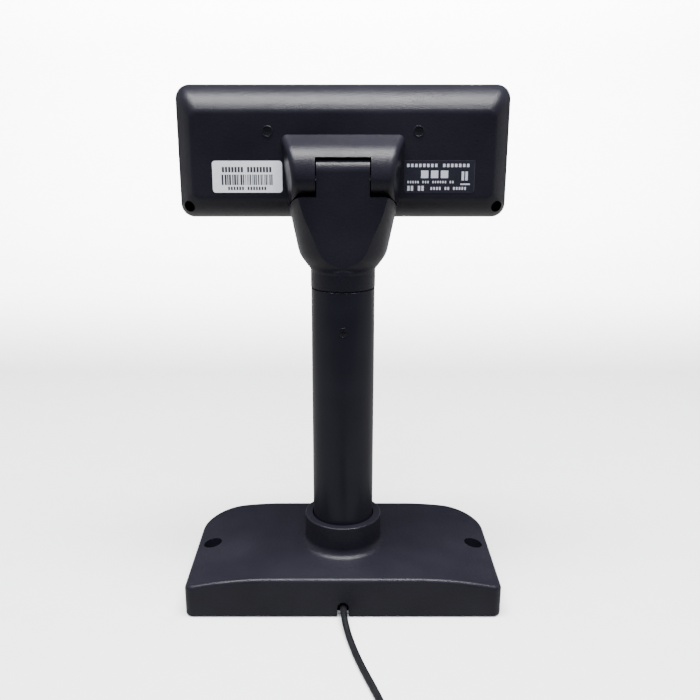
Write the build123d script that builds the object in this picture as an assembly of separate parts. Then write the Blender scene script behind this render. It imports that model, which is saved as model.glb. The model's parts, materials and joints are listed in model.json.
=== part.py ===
from build123d import *
import os
from math import cos, pi, radians, sin, sqrt, tan

# Customer pole display, in millimetres. +Z is up and the origin is on the table under the
# pole's axis. The screen faces -Y; the hinge, the labels and the cord are on the +Y side.

# ---- base ----
BASE_LENGTH = 201.6
BASE_DEPTH = 105.8
BASE_TOP = 27.0
REAR_CORNER = 5.6
FRONT_CORNER = 28.0
CROWN_FLAT = 45.0
CROWN_RADIUS = 250.0
BASE_WALL = 2.5
BASE_EDGE = 2.6
FOOT_HEIGHT = 1.2
FOOT_RADIUS = 6.0
FOOT_SPACING = (148.0, 52.0)
PLATE_THICKNESS = 2.0
PLATE_SIZE = (162.0, 100.0)
PLATE_CORNER = 4.0
PLATE_SCREW_SPACING = (140.0, 72.0)
BOSS_RADIUS = 4.2
BOSS_HOLE_TOP = 14.0
WELL_SPACING = 180.0
WELL_RADIUS = 6.15
WELL_WALL = 1.8
WELL_FLOOR = 3.0
BASE_HOLE_RADIUS = 2.5
COLLAR_RADIUS = 25.5
COLLAR_TOP = 47.5
COLLAR_FLARE = 5.2
COLLAR_GAP = 0.7
COLLAR_FOOT = BASE_TOP + COLLAR_FLARE
COLLAR_LIP = 0.7
NOTCH_WIDTH = 7.3
NOTCH_TOP = 10.6

# ---- screws ----
SHANK = 1.5
THREAD_FIT = 0.02
TAPPED = SHANK + THREAD_FIT
LOOSE = 1.6
PAN_HEAD = 2.9
SMALL_HEAD = 2.7
SMALL_SHANK = 1.3

# ---- pole ----
POLE_RADIUS = 20.0
POLE_WALL = 2.0
POLE_FOOT = 8.6
SEAM = 204.0
SEAM_GAP = 0.3
FLANGE_RADIUS = 31.0
FLANGE_THICKNESS = 3.0
FLANGE_HUB_TOP = 34.0
FLANGE_SCREW_CIRCLE = 25.6
FLANGE_SCREW_TOP = 16.0
HUB_BORE = 14.0
POLE_SCREW_Z = 179.0
POLE_SCREW_HEAD = 2.55

# ---- swivel ----
SPIGOT_BOTTOM = 160.0
SPIGOT_FIT = 0.06
SPIGOT_BORE = 10.0
SPIGOT_TOP = 212.0
GROOVE_DEPTH = 1.7
GROOVE_HALF = 2.0
STOP_HALF_ANGLE = 9.0
RING_Z = 168.0
RING_HEIGHT = 3.0
RING_DEPTH = 1.4
SPIGOT_SCREW_CIRCLE = 14.0

# ---- neck ----
NECK_RING_RADIUS = 20.2
NECK_RING_TOP = 214.4
NECK_WALL = 2.6
REAR_PLANE = 19.2
FRONT_PLANE = 2.0
SHOULDER = 261.0
SHOULDER_HALF = 32.2
SHOULDER_ROUND = 8.5
SLOPE_TOP = 244.0
CABLE_SLOT = (6.4, 8.4, 238.0)
COVER_SCREW = (20.0, 251.0)
# height, radius and centre of the bowl's round sections; the last five lie on one cone
NECK_SECTIONS = [
    (214.4, 20.2, 0.0),
    (216.6, 21.1, -0.95),
    (219.2, 23.4, -3.3),
    (222.2, 25.7, -4.1),
    (226.0, 27.5, -4.35),
    (238.0, 30.1, -4.3),
    (250.0, 32.6, -3.36),
    (263.0, 35.2, -3.4),
]
NECK_SLICES = 18

# ---- hinge ----
HINGE_Y = 10.8
HINGE_Z = 271.7
TONGUE_TOP = 282.7
TONGUE_ROUND = 7.0
TONGUE_HALF = 15.7
NOTCH_HALF = 16.3
NOTCH_ROOF = 284.0
PIN_RADIUS = 2.5
PIN_HALF = 28.0
SLEEVE_RADIUS = 4.2
RUNNING_FIT = 0.05
EAR_RADIUS = 10.2
EAR_WALL = 2.4
SHOULDER_CLEARANCE = 0.4
RELIEF_START = 203.0
BRACKET_THICKNESS = 2.0
BRACKET_X = 20.5
BRACKET_PLATE = (104.0, 266.0, 303.0)
BRACKET_SCREW = (38.0, 270.0)

# ---- head ----
HEAD_HALF_WIDTH = 103.5
HEAD_TOP = 325.4
HEAD_BOTTOM = 244.2
HEAD_CORNER = 8.6
HEAD_WALL = 2.2
BACK_Y = -3.0
WIDEST_Y = -27.0
PARTING_Y = -31.0
FRONT_Y = -43.0
SIDE_INSET = 12.5
TOP_INSET = 16.0
BOTTOM_INSET = 13.6
BACK_EDGE = 6.0
HUMP_HALF_TOP = 38.0
HUMP_HALF_TIP = 33.7
HUMP_TOP = 296.4
HUMP_TIP = 253.4
HUMP_TAPER = 13.0
HUMP_ROUND = 4.0
HUMP_ARC = 21.0
HUMP_SLOPE = 24.0
UPPER_SCREW = (45.4, 298.0)
CORNER_SCREW = (95.5, 252.6)
CORNER_WELL = 3.6
WELL_FLOOR_Y = -24.0
LABEL_THICKNESS = 0.12
LABEL_SIZE = (42.5, 19.0)
RATING_SIZE = (43.0, 19.6)
LABEL_X = 58.2
LABEL_Z = 271.2

# ---- display ----
MODULE_Z = 285.0
WINDOW_SIZE = (178.0, 54.0)
WINDOW_OPENING = (170.0, 46.0)
WINDOW_THICKNESS = 1.6
FRONT_WALL = 2.6
LCD_FRAME_SIZE = (166.0, 44.0)
LCD_VIEW = (152.0, 33.0)
LCD_GLASS_SIZE = (160.0, 39.0)
LCD_FRONT = -40.3
LCD_BACK = -33.6
BOARD_THICKNESS = 1.6
LCD_BOARD_SIZE = (186.0, 54.0)
LCD_BOARD_SCREWS = (178.0, 46.0)
CONTROLLER_SIZE = (122.0, 48.0)
CONTROLLER_SCREWS = (112.0, 38.0)
CONTROLLER_Y = -22.0

# ---- cord ----
CORD = 4.2
CLAMP_Y = (32.5, 40.5)
CLAMP_HEIGHT = 6.4
RELIEF_END = 48.5
CABLE_Z = 6.2
CORD_ROUTE = [
    (0.0, 48.5, 6.2),
    (-0.5, 60.0, 5.6),
    (-3.2, 74.0, 2.1),
    (-9.0, 98.0, 2.1),
    (-19.0, 127.0, 2.1),
    (-28.0, 157.0, 2.1),
    (-28.0, 186.0, 2.9),
]
TURN_PITCH = 4.25
COIL_COLUMNS = 3
COIL_LAYERS = 4
COIL_MEAN = 22.6
TIE_THICKNESS = 0.8
TIE_WIDTH = 8.0
TIE_ANGLE = 20.0
TAIL_ROUTE = [
    (-1.15, 212.85, 15.65),
    (13.0, 213.3, 14.0),
    (27.5, 214.4, 6.0),
    (41.0, 215.6, 4.2),
]
PLUG_YAW = 5.0
PLUG_BOOT = 12.0
PLUG_BODY = (26.0, 15.6, 8.4)
PLUG_SHELL = (18.8, 12.0, 4.5)
PLUG_SHELL_WALL = 0.35

MIN = (Align.CENTER, Align.CENTER, Align.MIN)


def block(x0, x1, y0, y1, z0, z1):
    """A box between two corners."""
    centre = Pos((x0 + x1) / 2, (y0 + y1) / 2, (z0 + z1) / 2)
    return centre * Box(x1 - x0, y1 - y0, z1 - z0)


def rod(start, end, radius, end_radius=None):
    """A round bar, or a cone, from start to end."""
    axis = Vector(*end) - Vector(*start)
    plane = Plane(origin=start, z_dir=axis)
    if end_radius is None:
        return plane * Cylinder(radius, axis.length, align=MIN)
    return plane * Cone(radius, end_radius, axis.length, align=MIN)


def upright(x, y, z0, z1, radius):
    return rod((x, y, z0), (x, y, z1), radius)


def corners(spacing):
    """The four corners of a rectangle of holes."""
    return [(sx * spacing[0] / 2, sy * spacing[1] / 2) for sx in (-1, 1) for sy in (-1, 1)]


def group(solids):
    """Separate solids kept as one node."""
    return Compound(children=list(solids))


def countersunk(x, y, z, head, shank, length, up=True):
    """A countersunk screw whose flat face is at z, pointing up or down."""
    way = 1 if up else -1
    rise = head - shank
    cone = rod((x, y, z), (x, y, z + way * rise), head, shank)
    return cone + rod((x, y, z), (x, y, z + way * length), shank) - cross_slot(x, y, z, way)


def cross_slot(x, y, z, way, reach=1.6, width=0.5, depth=0.8):
    """The cross recess of a screw that stands along Z."""
    low, high = sorted((z, z + way * depth))
    long = block(x - reach, x + reach, y - width, y + width, low, high)
    return long + block(x - width, x + width, y - reach, y + reach, low, high)


def back_screw(x, z, y_head, head, head_height, shank, length):
    """A screw driven along -Y, with its head's face at y_head."""
    bar = rod((x, y_head, z), (x, y_head - head_height, z), head)
    bar += rod((x, y_head, z), (x, y_head - length, z), shank)
    reach, width, depth = head * 0.62, head * 0.16, head_height * 0.5
    bar -= block(x - reach, x + reach, y_head - depth, y_head, z - width, z + width)
    bar -= block(x - width, x + width, y_head - depth, y_head, z - reach, z + reach)
    return bar


# ---------------------------------------------------------------- base


def crown(x, drop=0.0):
    """Height of the base's top at x, on a surface that lies drop lower."""
    run = max(abs(x) - CROWN_FLAT, 0.0)
    return BASE_TOP - CROWN_RADIUS + sqrt((CROWN_RADIUS - drop) ** 2 - run**2)


def base_plan(inset):
    """The base's outline from above: tight rear corners and wide front ones."""
    plan = Rectangle(BASE_LENGTH - 2 * inset, BASE_DEPTH - 2 * inset)
    plan = fillet(plan.vertices().sort_by(Axis.Y)[2:], REAR_CORNER - inset)
    return fillet(plan.vertices().sort_by(Axis.Y)[:2], FRONT_CORNER - inset)


def base_form(inset, drop, bottom):
    """The arched block of the base, smaller by inset at the sides and drop on top."""
    half = BASE_LENGTH / 2 - inset
    mid = (CROWN_FLAT + half) / 2
    edge, middle, top = crown(half, drop), crown(mid, drop), BASE_TOP - drop
    outline = [
        Line((-half, bottom), (half, bottom)),
        Line((half, bottom), (half, edge)),
        ThreePointArc((half, edge), (mid, middle), (CROWN_FLAT, top)),
        Line((CROWN_FLAT, top), (-CROWN_FLAT, top)),
        ThreePointArc((-CROWN_FLAT, top), (-mid, middle), (-half, edge)),
        Line((-half, edge), (-half, bottom)),
    ]
    arch = extrude(Plane.XZ * make_face(outline), BASE_DEPTH, both=True)
    return arch & extrude(base_plan(inset), BASE_TOP + 1.0)


def base_cover():
    shell = base_form(0.0, 0.0, FOOT_HEIGHT)
    rim = [e for e in shell.edges() if e.center().Z > FOOT_HEIGHT + 1 and is_outline(e)]
    shell = fillet(rim, BASE_EDGE)
    outer = shell + upright(0, 0, BASE_TOP - 3, COLLAR_TOP, COLLAR_RADIUS)
    circles = outer.edges().filter_by(GeomType.CIRCLE)
    on_top = [e for e in circles if abs(e.center().Z - BASE_TOP) < 0.01]
    foot = [e for e in on_top if abs(e.radius - COLLAR_RADIUS) < 0.01]
    outer = fillet(foot, COLLAR_FLARE) - upright(0, 0, COLLAR_FOOT, COLLAR_TOP + 1, COLLAR_RADIUS + 1)
    cover = outer - base_form(BASE_WALL, BASE_WALL, FOOT_HEIGHT - 1)
    inner = upright(0, 0, POLE_FOOT, BASE_TOP - 1, FLANGE_RADIUS - 1)
    for x, y in corners(PLATE_SCREW_SPACING):
        inner += upright(x, y, FOOT_HEIGHT + PLATE_THICKNESS, BASE_TOP, BOSS_RADIUS)
    for side in (-1, 1):
        inner += upright(side * WELL_SPACING / 2, 0, FOOT_HEIGHT, BASE_TOP, WELL_RADIUS + WELL_WALL)
    cover += inner & base_form(1.0, 1.0, FOOT_HEIGHT)
    cover -= upright(0, 0, 0, COLLAR_TOP + 1, POLE_RADIUS + COLLAR_GAP)
    for side in (-1, 1):
        x = side * WELL_SPACING / 2
        cover -= upright(x, 0, FOOT_HEIGHT + WELL_FLOOR, BASE_TOP + 1, WELL_RADIUS)
        cover -= upright(x, 0, 0, BASE_TOP, BASE_HOLE_RADIUS)
    for x, y in corners(PLATE_SCREW_SPACING):
        cover -= upright(x, y, 0, BOSS_HOLE_TOP, TAPPED)
    for x, y in flange_screw_places():
        cover -= upright(x, y, 0, FLANGE_SCREW_TOP + 2, TAPPED)
    return cover - cable_notch()


def pole_collar():
    """Ring that carries the base's flare up round the pole."""
    ring = upright(0, 0, COLLAR_FOOT, COLLAR_TOP, COLLAR_RADIUS)
    ring = fillet(ring.edges().sort_by(Axis.Z)[-1], COLLAR_LIP)
    return ring - upright(0, 0, 0, COLLAR_TOP + 1, POLE_RADIUS + COLLAR_GAP)


def is_outline(edge):
    """True for an edge round the outside of the base's top."""
    box = edge.bounding_box()
    across = abs(box.min.Y + box.max.Y) < 0.1 and box.max.Y - box.min.Y > 60
    upright_edge = box.max.Z - box.min.Z > 12
    return not across and not upright_edge


def cable_notch():
    """An arched slot through the rear wall, open below."""
    radius = NOTCH_WIDTH / 2
    y0, y1 = BASE_DEPTH / 2 - 6, BASE_DEPTH / 2 + 2
    slot = block(-radius, radius, y0, y1, 0, NOTCH_TOP - radius)
    return slot + rod((0, y0, NOTCH_TOP - radius), (0, y1, NOTCH_TOP - radius), radius)


def base_plate():
    """Steel weight that closes the base between its two screw wells."""
    plate = extrude(Pos(0, 0, FOOT_HEIGHT) * RectangleRounded(*PLATE_SIZE, PLATE_CORNER), PLATE_THICKNESS)
    for x, y in corners(PLATE_SCREW_SPACING):
        plate -= rod((x, y, FOOT_HEIGHT), (x, y, FOOT_HEIGHT + 1.6), 3.15, SHANK + 0.05)
        plate -= upright(x, y, 0, FOOT_HEIGHT + PLATE_THICKNESS + 1, SHANK + 0.05)
    for x, y in clamp_screw_places():
        plate -= upright(x, y, 0, FOOT_HEIGHT + PLATE_THICKNESS + 1, SHANK - 0.03)
    return plate


def plate_screws():
    places = corners(PLATE_SCREW_SPACING)
    return group(countersunk(x, y, FOOT_HEIGHT, 3.05, SHANK, 10.0) for x, y in places)


def rubber_feet():
    feet = []
    for x, y in corners(FOOT_SPACING):
        foot = upright(x, y, 0, FOOT_HEIGHT, FOOT_RADIUS)
        feet.append(chamfer(foot.edges().sort_by(Axis.Z)[0], 0.4))
    return group(feet)


# ---------------------------------------------------------------- pole


def pole_tube():
    tube = upright(0, 0, POLE_FOOT, SEAM, POLE_RADIUS)
    tube = chamfer(tube.edges().sort_by(Axis.Z)[-1], 0.5)
    tube -= upright(0, 0, 0, SEAM + 1, POLE_RADIUS - POLE_WALL)
    tube -= rod((0, POLE_RADIUS - 1.3, POLE_SCREW_Z), (0, 22, POLE_SCREW_Z), POLE_SCREW_HEAD + 0.1)
    return tube - rod((0, 15, POLE_SCREW_Z), (0, 22, POLE_SCREW_Z), TAPPED)


def flange_screw_places():
    angles = [pi / 4 + quarter * pi / 2 for quarter in range(4)]
    return [(FLANGE_SCREW_CIRCLE * cos(a), FLANGE_SCREW_CIRCLE * sin(a)) for a in angles]


def pole_flange():
    """Steel flange under the collar, with a hub that fills the pole's foot."""
    bottom = POLE_FOOT - FLANGE_THICKNESS
    flange = upright(0, 0, bottom, POLE_FOOT, FLANGE_RADIUS)
    flange += upright(0, 0, bottom, FLANGE_HUB_TOP, POLE_RADIUS - POLE_WALL - 0.05)
    flange -= upright(0, 0, 0, FLANGE_HUB_TOP + 1, HUB_BORE)
    flange -= block(-4, 4, 12, 40, 0, POLE_FOOT + 4)
    for x, y in flange_screw_places():
        flange -= upright(x, y, 0, POLE_FOOT + 1, LOOSE)
    return flange


def flange_screws():
    bottom = POLE_FOOT - FLANGE_THICKNESS
    low = bottom - 2.0
    screws = []
    for x, y in flange_screw_places():
        screw = upright(x, y, low, bottom, PAN_HEAD) + upright(x, y, low, FLANGE_SCREW_TOP, SHANK)
        screws.append(screw - cross_slot(x, y, low, 1))
    return group(screws)


def pole_screw():
    """Flush screw whose tip rides in the spigot's groove."""
    tip = POLE_RADIUS - POLE_WALL - 1.3
    face = POLE_RADIUS - 0.15
    screw = rod((0, face - 1.15, POLE_SCREW_Z), (0, face, POLE_SCREW_Z), POLE_SCREW_HEAD)
    screw += rod((0, tip, POLE_SCREW_Z), (0, face - 0.5, POLE_SCREW_Z), SHANK)
    for wide, high in ((1.6, 0.4), (0.4, 1.6)):
        screw -= block(-wide, wide, face - 0.6, face + 1, POLE_SCREW_Z - high, POLE_SCREW_Z + high)
    return screw


# ---------------------------------------------------------------- swivel and neck


def swivel_spigot():
    """Plug of the swivel: a groove and its stop rib set how far the neck turns."""
    radius = POLE_RADIUS - POLE_WALL - SPIGOT_FIT
    spigot = upright(0, 0, SPIGOT_BOTTOM, SPIGOT_TOP, radius)
    spigot = chamfer(spigot.edges().sort_by(Axis.Z)[0], 0.8)
    groove = upright(0, 0, POLE_SCREW_Z - GROOVE_HALF, POLE_SCREW_Z + GROOVE_HALF, radius + 1)
    groove -= upright(0, 0, 0, SPIGOT_TOP, radius - GROOVE_DEPTH)
    far = 30.0
    spread = far * tan(radians(STOP_HALF_ANGLE))
    rib = make_face(Polyline((0, 0), (-spread, -far), (spread, -far), close=True))
    groove -= extrude(rib, SPIGOT_TOP)
    ring = upright(0, 0, RING_Z, RING_Z + RING_HEIGHT, radius + 1)
    ring -= upright(0, 0, 0, SPIGOT_TOP, radius - RING_DEPTH)
    spigot = spigot - groove - ring - upright(0, 0, 0, SPIGOT_TOP + 1, SPIGOT_BORE)
    for x, y in spigot_screw_places():
        spigot -= upright(x, y, SPIGOT_TOP - 8, SPIGOT_TOP + 1, TAPPED)
    return spigot


def spigot_screw_places():
    circle = SPIGOT_SCREW_CIRCLE
    return [(circle * cos(radians(a)), circle * sin(radians(a))) for a in (60, 180, 300)]


def friction_ring():
    radius = POLE_RADIUS - POLE_WALL
    ring = upright(0, 0, RING_Z + 0.05, RING_Z + RING_HEIGHT - 0.05, radius - 0.03)
    return ring - upright(0, 0, 0, SPIGOT_TOP, radius - SPIGOT_FIT - RING_DEPTH + 0.02)


def spigot_screws():
    screws = []
    for x, y in spigot_screw_places():
        screw = upright(x, y, NECK_RING_TOP, NECK_RING_TOP + 1.9, SMALL_HEAD)
        screw += upright(x, y, SPIGOT_TOP - 6, NECK_RING_TOP + 1, SHANK)
        screws.append(screw - cross_slot(x, y, NECK_RING_TOP + 1.9, -1))
    return group(screws)


def slope_at(index, value):
    """Slope of one column of the neck's sections against height, at one section."""
    before = NECK_SECTIONS[max(index - 1, 0)]
    after = NECK_SECTIONS[min(index + 1, len(NECK_SECTIONS) - 1)]
    return (after[value] - before[value]) / (after[0] - before[0])


def neck_section(z):
    """Radius and centre of the neck at a height, on smooth curves through its sections."""
    index = sum(1 for section in NECK_SECTIONS[1:-1] if section[0] <= z)
    low, high = NECK_SECTIONS[index], NECK_SECTIONS[index + 1]
    span = high[0] - low[0]
    t = (z - low[0]) / span
    found = []
    for value in (1, 2):
        start = (1 + 2 * t) * (1 - t) ** 2 * low[value] + t * (1 - t) ** 2 * span * slope_at(index, value)
        end = t * t * (3 - 2 * t) * high[value] + t * t * (t - 1) * span * slope_at(index + 1, value)
        found.append(start + end)
    return found


def neck_form(inset):
    """The neck's bowl, flat behind and rounded at the shoulders, smaller by inset all round."""
    bottom, top = NECK_SECTIONS[0][0], NECK_SECTIONS[-1][0]
    sections = []
    for step in range(NECK_SLICES + 1):
        z = bottom + (top - bottom) * step / NECK_SLICES
        radius, y = neck_section(z)
        sections.append(Pos(0, y, z) * Circle(radius - inset))
    bowl = loft(sections)
    cap = Rectangle(2 * (SHOULDER_HALF - inset), 80.0)
    cap = fillet(cap.vertices().sort_by(Axis.Y)[2:], SHOULDER_ROUND - inset)
    cap = Pos(0, SHOULDER - inset - 40.0) * cap
    bowl &= extrude(Plane.XZ * cap, 60, both=True)
    return bowl & neck_side(inset)


def neck_side(inset, front=0.0):
    """The neck from the side: a back that leans in a little and a front that slopes under the head."""
    start = NECK_RING_TOP - 0.001
    points = [
        (-POLE_RADIUS - 1 + front, start),
        (NECK_RING_RADIUS - inset, start),
        (REAR_PLANE - inset, SHOULDER),
        (REAR_PLANE - inset, SHOULDER + 30),
        (FRONT_PLANE + front, SHOULDER + 30),
        (FRONT_PLANE + front, SLOPE_TOP),
        (-POLE_RADIUS + front, NECK_RING_TOP + 1.0),
    ]
    return extrude(Plane.YZ * make_face(Polyline(*points, close=True)), 60, both=True)


def neck_body():
    ring = upright(0, 0, SEAM + SEAM_GAP, NECK_RING_TOP, NECK_RING_RADIUS)
    ring = chamfer(ring.edges().sort_by(Axis.Z)[0], 0.4)
    shell = ring + neck_form(0.0) - neck_form(NECK_WALL)
    tongue = block(-TONGUE_HALF, TONGUE_HALF, FRONT_PLANE, REAR_PLANE, SHOULDER - 9, TONGUE_TOP)
    shell += fillet(tongue.edges().filter_by(Axis.X).sort_by(Axis.Z)[2:], TONGUE_ROUND)
    shell -= cable_slot()
    shell -= rod((-40, HINGE_Y, HINGE_Z), (40, HINGE_Y, HINGE_Z), SLEEVE_RADIUS)
    shell -= upright(0, 0, SEAM - 1, SPIGOT_TOP, POLE_RADIUS - POLE_WALL - SPIGOT_FIT)
    shell -= upright(0, 0, SEAM, NECK_RING_TOP + 0.01, 8.0)
    for x, y in spigot_screw_places():
        shell -= upright(x, y, SPIGOT_TOP - 1, NECK_RING_TOP + 1, TAPPED)
    x, z = COVER_SCREW
    for side in (-1, 1):
        shell += rod((side * x, 6.5, z), (side * x, REAR_PLANE - 1, z), 3.6)
        shell -= rod((side * x, 0, z), (side * x, 14, z), SMALL_SHANK + THREAD_FIT)
    return shell


def cable_slot():
    """The way out of the neck's top for the cable, in front of the tongue."""
    wide, deep, low = CABLE_SLOT
    return block(-wide / 2, wide / 2, -6, deep, low, SHOULDER + 1)


def neck_front_cover():
    """Plate that closes the neck's front."""
    plate = neck_form(NECK_WALL + 0.15) - neck_side(-5, front=2.4)
    plate -= block(-60, 60, -60, 60, 0, NECK_RING_TOP + 0.2)
    plate -= cable_slot()
    plate -= block(-TONGUE_HALF - 0.2, TONGUE_HALF + 0.2, -1, 6, SHOULDER - 9.2, SHOULDER + 1)
    x, z = COVER_SCREW
    for side in (-1, 1):
        plate -= rod((side * x, 0, z), (side * x, 8, z), 1.45)
    return plate


def neck_cover_screws():
    return group(neck_cover_screw(side * COVER_SCREW[0], COVER_SCREW[1]) for side in (-1, 1))


def neck_cover_screw(x, z):
    face = FRONT_PLANE - 1.0
    screw = rod((x, face, z), (x, FRONT_PLANE, z), 2.4)
    screw += rod((x, FRONT_PLANE - 0.5, z), (x, 13, z), SMALL_SHANK)
    for wide, high in ((1.5, 0.4), (0.4, 1.5)):
        screw -= block(x - wide, x + wide, face - 1, face + 0.5, z - high, z + high)
    return screw


def friction_sleeve():
    sleeve = rod((-TONGUE_HALF, HINGE_Y, HINGE_Z), (TONGUE_HALF, HINGE_Y, HINGE_Z), SLEEVE_RADIUS - 0.01)
    return sleeve - rod((-40, HINGE_Y, HINGE_Z), (40, HINGE_Y, HINGE_Z), PIN_RADIUS + RUNNING_FIT)


# ---------------------------------------------------------------- head


def head_section(y, inset, corner):
    """A rounded rectangle across the head at depth y."""
    wide = 2 * (HEAD_HALF_WIDTH - inset)
    high = HEAD_TOP - HEAD_BOTTOM - 2 * inset
    plane = Plane(origin=(0, y, (HEAD_TOP + HEAD_BOTTOM) / 2), x_dir=(1, 0, 0), z_dir=(0, 1, 0))
    return plane * RectangleRounded(wide, high, corner)


def bevel_outline(low, high, low_inset, high_inset, back):
    """Depth runs along the first axis: straight sides, then arcs that close in to the back."""
    return [
        Line((PARTING_Y, low), (WIDEST_Y, low)),
        TangentArc((WIDEST_Y, low), (back, low + low_inset), tangent=(1, 0)),
        Line((back, low + low_inset), (back, high - high_inset)),
        TangentArc((WIDEST_Y, high), (back, high - high_inset), tangent=(1, 0)),
        Line((WIDEST_Y, high), (PARTING_Y, high)),
        Line((PARTING_Y, high), (PARTING_Y, low)),
    ]


def back_form(wall):
    """The rear half of the head: bevels on four sides, mitred and then rounded at the corners."""
    half, low, high = HEAD_HALF_WIDTH - wall, HEAD_BOTTOM + wall, HEAD_TOP - wall
    back = BACK_Y - wall
    side = make_face(bevel_outline(low, high, BOTTOM_INSET - wall * 0.4, TOP_INSET - wall * 0.4, back))
    plan = make_face(bevel_outline(-half, half, SIDE_INSET - wall * 0.4, SIDE_INSET - wall * 0.4, back))
    body = extrude(Plane.YZ * side, 120, both=True)
    flat = Plane(origin=(0, 0, 0), x_dir=(0, 1, 0), z_dir=(0, 0, -1))
    body &= extrude(flat * plan, 400, both=True)
    body = fillet([e for e in body.edges() if is_mitre(e)], HEAD_CORNER - wall)
    rim = [e for e in body.edges() if abs(e.bounding_box().min.Y - back) < 0.01]
    return fillet(rim, BACK_EDGE - wall)


def is_mitre(edge):
    """True for an edge that runs from front to back at one of the head's corners."""
    size = edge.bounding_box().size
    return size.Y > 2.0 and size.X < SIDE_INSET + 2 and size.Z < TOP_INSET + 2


def hump_side():
    """Side profile of the hinge saddle: a slope, a large arc, and the round of the ears."""
    slope = radians(HUMP_SLOPE)
    rear = HINGE_Y + EAR_RADIUS
    centre = rear - HUMP_ARC
    start = (centre + HUMP_ARC * sin(slope), HINGE_Z + HUMP_ARC * cos(slope))
    middle = (centre + HUMP_ARC * cos(slope), HINGE_Z + HUMP_ARC * sin(slope))
    crest = (BACK_Y - 1, start[1] + (start[0] - BACK_Y + 1) * tan(slope))
    turn = radians(40.0)
    under = (HINGE_Y + EAR_RADIUS * cos(turn), HINGE_Z - EAR_RADIUS * sin(turn))
    halfway = (HINGE_Y + EAR_RADIUS * cos(turn / 2), HINGE_Z - EAR_RADIUS * sin(turn / 2))
    drop = under[1] - HUMP_TIP
    tip = (under[0] - drop * tan(turn), HUMP_TIP)
    outline = [
        Line((BACK_Y - 1, HUMP_TIP), crest),
        Line(crest, start),
        ThreePointArc(start, middle, (rear, HINGE_Z)),
        ThreePointArc((rear, HINGE_Z), halfway, under),
        Line(under, tip),
        Line(tip, (BACK_Y - 1, HUMP_TIP)),
    ]
    return extrude(Plane.YZ * make_face(outline), 60, both=True)


def hump_face():
    """The saddle's outline on the head's back, drawn in towards the rear."""
    points = [
        (-HUMP_HALF_TIP, HUMP_TIP - 1),
        (HUMP_HALF_TIP, HUMP_TIP - 1),
        (HUMP_HALF_TOP, HUMP_TOP + 2),
        (-HUMP_HALF_TOP, HUMP_TOP + 2),
    ]
    face = make_face(Polyline(*points, close=True))
    plane = Plane(origin=(0, BACK_Y - 1, 0), x_dir=(-1, 0, 0), z_dir=(0, 1, 0))
    return extrude(plane * face, 30, taper=HUMP_TAPER)


def hump_form():
    hump = hump_side() & hump_face()
    return fillet([e for e in hump.edges() if is_hump_rim(e)], HUMP_ROUND)


def is_hump_rim(edge):
    """True for the edges between the saddle's flanks and its sloping, curved back."""
    centre, size = edge.center(), edge.bounding_box().size
    return centre.Z > HINGE_Z - 1 and size.X < 8 and size.Y > 1 and abs(centre.X) > 20


def shoulder_relief():
    """Space that the neck's rounded shoulders need under the saddle as the head tilts."""
    corner = SHOULDER_ROUND + SHOULDER_CLEARANCE
    side = SHOULDER_HALF + SHOULDER_CLEARANCE - 0.1
    flat = SHOULDER_HALF - SHOULDER_ROUND
    low = EAR_RADIUS
    drop = low + corner - sqrt(corner**2 - (side - flat) ** 2)
    half_way = (side - flat) / 2
    middle = low + corner - sqrt(corner**2 - half_way**2)
    far = 45.0
    outline = [
        Line((-flat, low), (flat, low)),
        ThreePointArc((flat, low), (flat + half_way, middle), (side, drop)),
        Line((side, drop), (side, far)),
        Line((side, far), (-side, far)),
        Line((-side, far), (-side, drop)),
        ThreePointArc((-side, drop), (-flat - half_way, middle), (-flat, low)),
    ]
    start = radians(RELIEF_START)
    plane = Plane(origin=(0, HINGE_Y, HINGE_Z), x_dir=(1, 0, 0), z_dir=(0, -sin(start), cos(start)))
    swept = revolve(plane * make_face(outline), Axis((0, HINGE_Y, HINGE_Z), (1, 0, 0)), 360.0 - RELIEF_START)
    return swept & block(-60, 60, BACK_Y, 60, 200, 330)


def ear_pocket(side):
    """The hollow inside one ear of the saddle, open to the inside of the head."""
    inner, outer = NOTCH_HALF + EAR_WALL, HUMP_HALF_TIP - 4.6
    x0, x1 = sorted((side * inner, side * outer))
    pocket = rod((x0, HINGE_Y, HINGE_Z), (x1, HINGE_Y, HINGE_Z), EAR_RADIUS - EAR_WALL)
    pocket += block(x0, x1, BACK_Y - 6, HINGE_Y, HINGE_Z - 4.4, HINGE_Z + 13.5)
    return pocket + block(x0, x1, BACK_Y - 6, HINGE_Y + 5.0, HINGE_Z, HINGE_Z + 11.0)


def rear_cover():
    cover = back_form(0.0) + hump_form()
    cover -= back_form(HEAD_WALL)
    for side in (-1, 1):
        x, z = side * CORNER_SCREW[0], CORNER_SCREW[1]
        well = rod((x, WELL_FLOOR_Y - 3, z), (x, BACK_Y, z), CORNER_WELL + 1.6)
        cover += well & back_form(0.6)
        cover -= rod((x, WELL_FLOOR_Y, z), (x, BACK_Y, z), CORNER_WELL)
        cover -= rod((x, WELL_FLOOR_Y - 4, z), (x, BACK_Y, z), 1.65)
        x, z = side * UPPER_SCREW[0], UPPER_SCREW[1]
        cover -= rod((x, BACK_Y - 1.2, z), (x, BACK_Y + 1, z), 2.75)
        cover -= rod((x, BACK_Y - 5, z), (x, BACK_Y + 1, z), LOOSE)
        cover -= ear_pocket(side)
    cover -= block(-NOTCH_HALF, NOTCH_HALF, BACK_Y, 40, 230, NOTCH_ROOF)
    cover -= shoulder_relief()
    cover -= rod((-60, HINGE_Y, HINGE_Z), (60, HINGE_Y, HINGE_Z), PIN_RADIUS) & ear_walls()
    return cover - rod((0, BACK_Y - 5, 264), (0, BACK_Y + 2, 264), 3.4)


def ear_walls():
    """The two walls beside the tongue, where the hinge pin passes through."""
    reach = NOTCH_HALF + EAR_WALL + 0.5
    return block(-reach, reach, HINGE_Y - 5, HINGE_Y + 5, HINGE_Z - 5, HINGE_Z + 5)


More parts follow.
